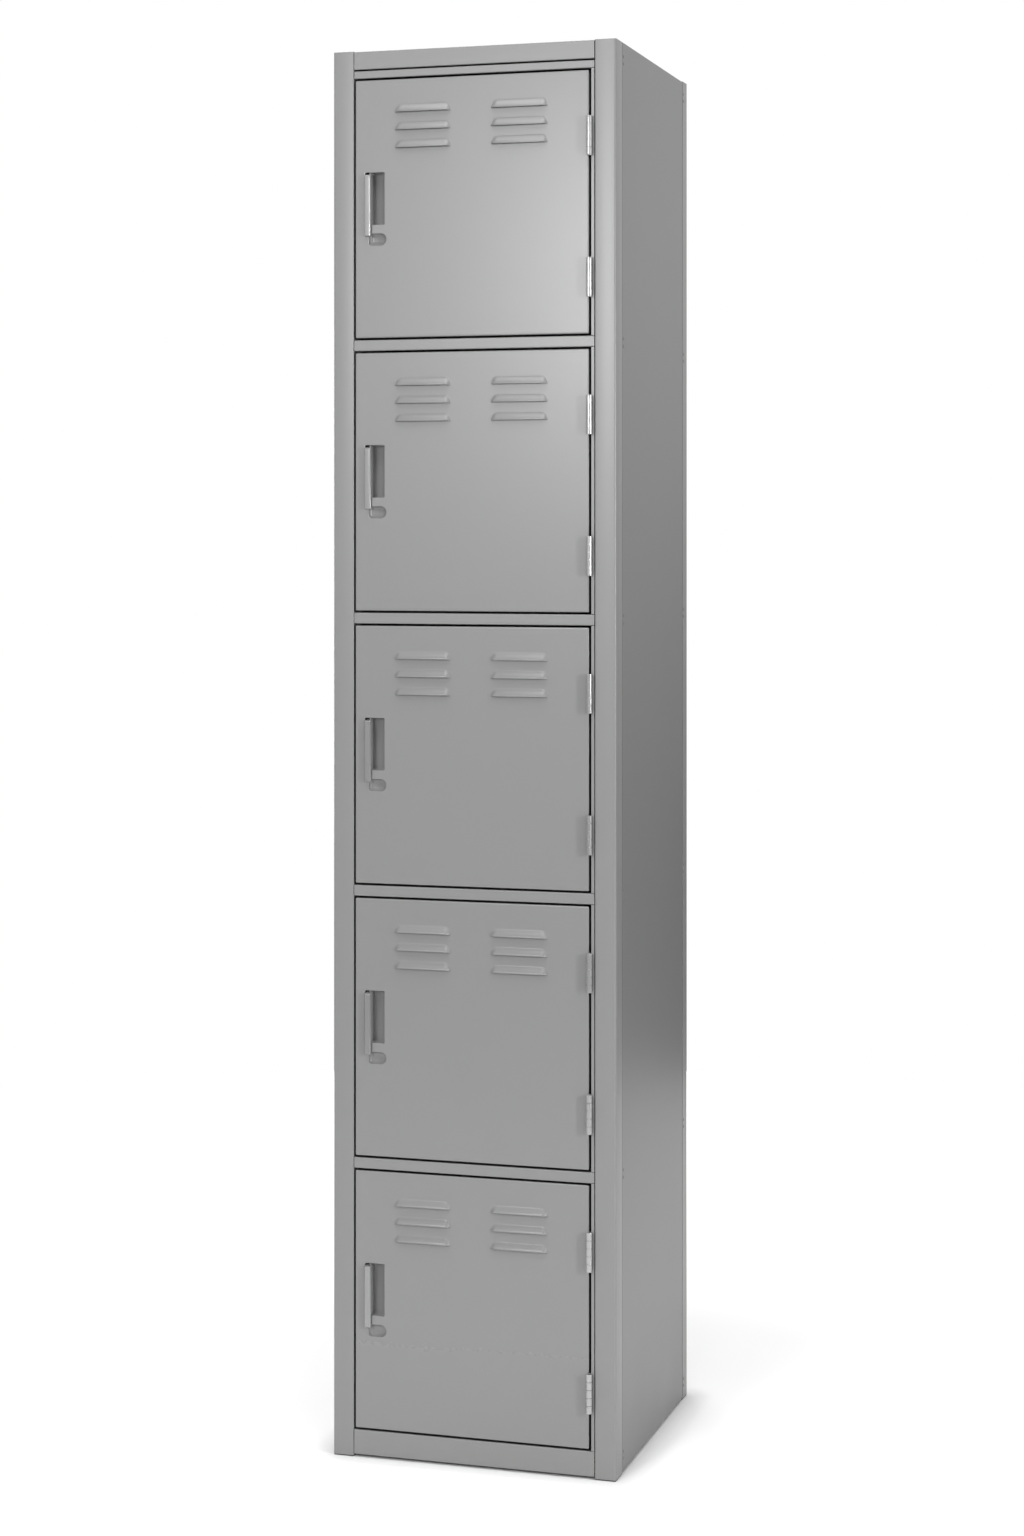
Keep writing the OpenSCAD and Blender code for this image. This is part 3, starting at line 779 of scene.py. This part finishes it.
def door(n):
    """One door with its pull, and the lever's spring, which keeps its CAD shape."""
    body = f"door_{n}"
    door_panel(n)
    handle_pocket(n)
    soften(f"hinge_door_leaves_{n}", body, "hinge_paint", 0.28, angle=50)
    soften(f"pull_lever_{n}", f"lever_{n}", "lever_metal", 0.8, angle=40, segments=4)
    soften(f"lever_pin_{n}", body, "pin_steel", 0.2, angle=50)
    spring = frame["nodes"][f"lever_spring_{n}"]
    spring.data.materials.clear()
    spring.data.materials.append(MATERIALS["pin_steel"])


# ------------------------------------------------------------------ assembly

for side in ("left", "right"):
    front_post(side)
    rear_post(side)
    side_panel(side)
rivet_heads()
for tray in ("roof_panel", "shelf_1", "shelf_2", "shelf_3", "shelf_4", "plinth",
             "top_rail"):
    soften(tray, "carcass", "frame_paint", TRAY_EDGE, tray_folds(tray))
soften("floor_panel", "carcass", "panel_paint", TRAY_EDGE, tray_folds("floor_panel"))
soften("back_panel", "carcass", "panel_paint", 0.25)
soften("hinge_jambs", "carcass", "frame_paint", 0.3)
soften("hinge_frame_leaves", "carcass", "hinge_paint", 0.28, angle=50)
soften("hinge_pins", "carcass", "pin_steel", 0.5, angle=50)
soften("strikes", "carcass", "zinc_steel", 0.3)
soften("strike_bumpers", "carcass", "rubber", 0.6, angle=50, segments=3)
soften("feet", "carcass", "glide_plastic", 0.4)
for tier in TIERS:
    door(tier)


# ------------------------------------------------------------------ studio

MIDDLE = (0, 0, 0.95)    # what the lights aim at
FLOOR_R = 2.6
FOOT_INSET = 8           # the floor's glow starts this far in under the cabinet
# Painted glow of the floor: near the cabinet it fades to nothing at the foot, a painted
# contact shadow, and a share of it lights the cabinet as painted bounce light. The
# constants give the glow near the cabinet, the share of it that lights the cabinet, and
# the glow that only the camera sees further out. Each distance is from the cabinet's
# foot, in metres.
NEAR_GLOW, NEAR_SHARE, NEAR_FULL = 0.36, 0.5, 0.05
FAR_GLOW, FAR_START, FAR_FULL = 0.6, 0.35, 1.7
# The room's brightness is the sum of two smooth steps over how far up a direction
# points: where each step starts and ends, and its values there
ROOM = ((-0.14, 0.12, 0.05, 0.75), (0.16, 0.5, 0, -0.45))


def disc(bm, radius, rings=6, sides=64):
    """A flat round floor of rings and sectors."""
    middle = bm.verts.new((0, 0, 0))
    inner = None
    for k in range(1, rings + 1):
        ring = [bm.verts.new((p.x, p.y, 0))
                for p in arc((0, 0), radius * k / rings, 0, 360, sides)[:-1]]
        for i in range(sides):
            j = (i + 1) % sides
            if inner:
                bm.faces.new((inner[i], inner[j], ring[j], ring[i]))
            else:
                bm.faces.new((middle, ring[i], ring[j]))
        inner = ring


def studio_floor():
    """A pale round floor whose painted glow keeps it white away from the cabinet and
    fades out at the cabinet's foot, a painted contact shadow.
    """
    bm = bmesh.new()
    disc(bm, FLOOR_R)
    obj = add_object("floor", bm, recalculate=False)
    n = Nodes("floor")
    cloud = n.ramp(n.noise(1.2, 3), 0.3, 0.7)
    tone = n.mix(cloud, grey(0.78), grey(0.81))
    n.shade(colour=tone, rough=0.8, normal=n.bump(n.noise(300, 2), 0.05), specular=0.1)
    across = n.add("ShaderNodeVectorMath", {0: n.place}, operation="ABSOLUTE")
    half = Vector((CAB_W / 2 - FOOT_INSET, CAB_D / 2 - FOOT_INSET, 0)) * MM
    beyond = n.add("ShaderNodeVectorMath", {0: across.outputs[0], 1: half},
                   operation="SUBTRACT")
    clear = n.add("ShaderNodeVectorMath", {0: beyond.outputs[0], 1: (0, 0, 0)},
                  operation="MAXIMUM")
    away = n.add("ShaderNodeVectorMath", {0: clear.outputs[0]}, operation="LENGTH")
    seen = n.add("ShaderNodeLightPath").outputs["Is Camera Ray"]
    distance = away.outputs["Value"]
    # Painted contact shadow: the glow fades to nothing at the cabinet's foot. Rays other
    # than the camera's see a share of it, so it also lights the cabinet as painted bounce
    # light.
    near = n.math("MULTIPLY", n.ramp(distance, 0, NEAR_FULL, 0, NEAR_GLOW),
                  n.ramp(seen, 0, 1, NEAR_SHARE, 1))
    far = n.math("MULTIPLY", n.ramp(distance, FAR_START, FAR_FULL, 0, FAR_GLOW), seen)
    glow = n.math("ADD", near, far)
    n.shader.inputs["Emission Color"].default_value = (1, 1, 1, 1)
    n.tree.links.new(glow, n.shader.inputs["Emission Strength"])
    obj.data.materials.append(n.material)


def area_light(name, place, target, size, power, glossy=True):
    """A soft box. Without glossy it lights the cabinet but shows in no reflection."""
    light = bpy.data.lights.new(name, "AREA")
    light.shape = "RECTANGLE"
    light.size, light.size_y = size
    light.energy = power
    obj = bpy.data.objects.new(name, light)
    obj.location = place
    aim = Vector(target) - Vector(place)
    obj.rotation_euler = aim.to_track_quat("-Z", "Y").to_euler()
    obj.visible_glossy = glossy
    bpy.context.scene.collection.objects.link(obj)


def camera():
    """Upright camera to the front right, with the picture shifted down to the floor."""
    data = bpy.data.cameras.new("camera")
    data.lens = 67.5
    data.shift_y = -0.151
    obj = bpy.data.objects.new("camera", data)
    obj.location = (1.1185, -3.723, 1.199)
    obj.rotation_euler = (math.radians(90), 0, math.radians(16.79))
    bpy.context.scene.collection.objects.link(obj)
    bpy.context.scene.camera = obj


def world():
    """White behind the object. As a light, a dim room that is brighter overhead."""
    studio = bpy.data.worlds.new("studio")
    bpy.context.scene.world = studio
    studio.use_nodes = True
    tree = studio.node_tree
    add, link = tree.nodes.new, tree.links.new
    shown = tree.nodes["Background"]
    room = add("ShaderNodeBackground")
    place = add("ShaderNodeTexCoord")
    split = add("ShaderNodeSeparateXYZ")
    link(place.outputs["Generated"], split.inputs[0])
    steps = []
    for start, end, low, high in ROOM:
        step = add("ShaderNodeMapRange")
        step.interpolation_type = "SMOOTHSTEP"
        for socket, value in {"From Min": start, "From Max": end,
                              "To Min": low, "To Max": high}.items():
            step.inputs[socket].default_value = value
        link(split.outputs["Z"], step.inputs["Value"])
        steps.append(step.outputs["Result"])
    level = add("ShaderNodeMath")
    level.operation = "ADD"
    link(steps[0], level.inputs[0])
    link(steps[1], level.inputs[1])
    link(level.outputs[0], room.inputs["Strength"])
    ray = add("ShaderNodeLightPath")
    choose = add("ShaderNodeMixShader")
    link(ray.outputs["Is Camera Ray"], choose.inputs[0])
    link(room.outputs[0], choose.inputs[1])
    link(shown.outputs[0], choose.inputs[2])
    link(choose.outputs[0], tree.nodes["World Output"].inputs["Surface"])
    for background in (room, shown):
        background.inputs["Color"].default_value = (1, 1, 1, 1)
    shown.inputs["Strength"].default_value = 1.0


studio_floor()
world()
area_light("key", (-0.58, -3.7, 1.85), MIDDLE, (0.45, 0.7), 33)
area_light("fill", (-1.2, -4.2, 2.1), MIDDLE, (2.2, 2.2), 45, glossy=False)
area_light("side", (3.1, -1.6, 1.35), MIDDLE, (0.30, 0.8), 55)
area_light("top", (0.2, -1.1, 4.2), (0, 0, 0), (2.4, 2.4), 80)
area_light("back", (-2.6, 3.4, 1.1), MIDDLE, (2.6, 1.5), 70)
camera()
bpy.context.scene.view_settings.view_transform = "Standard"
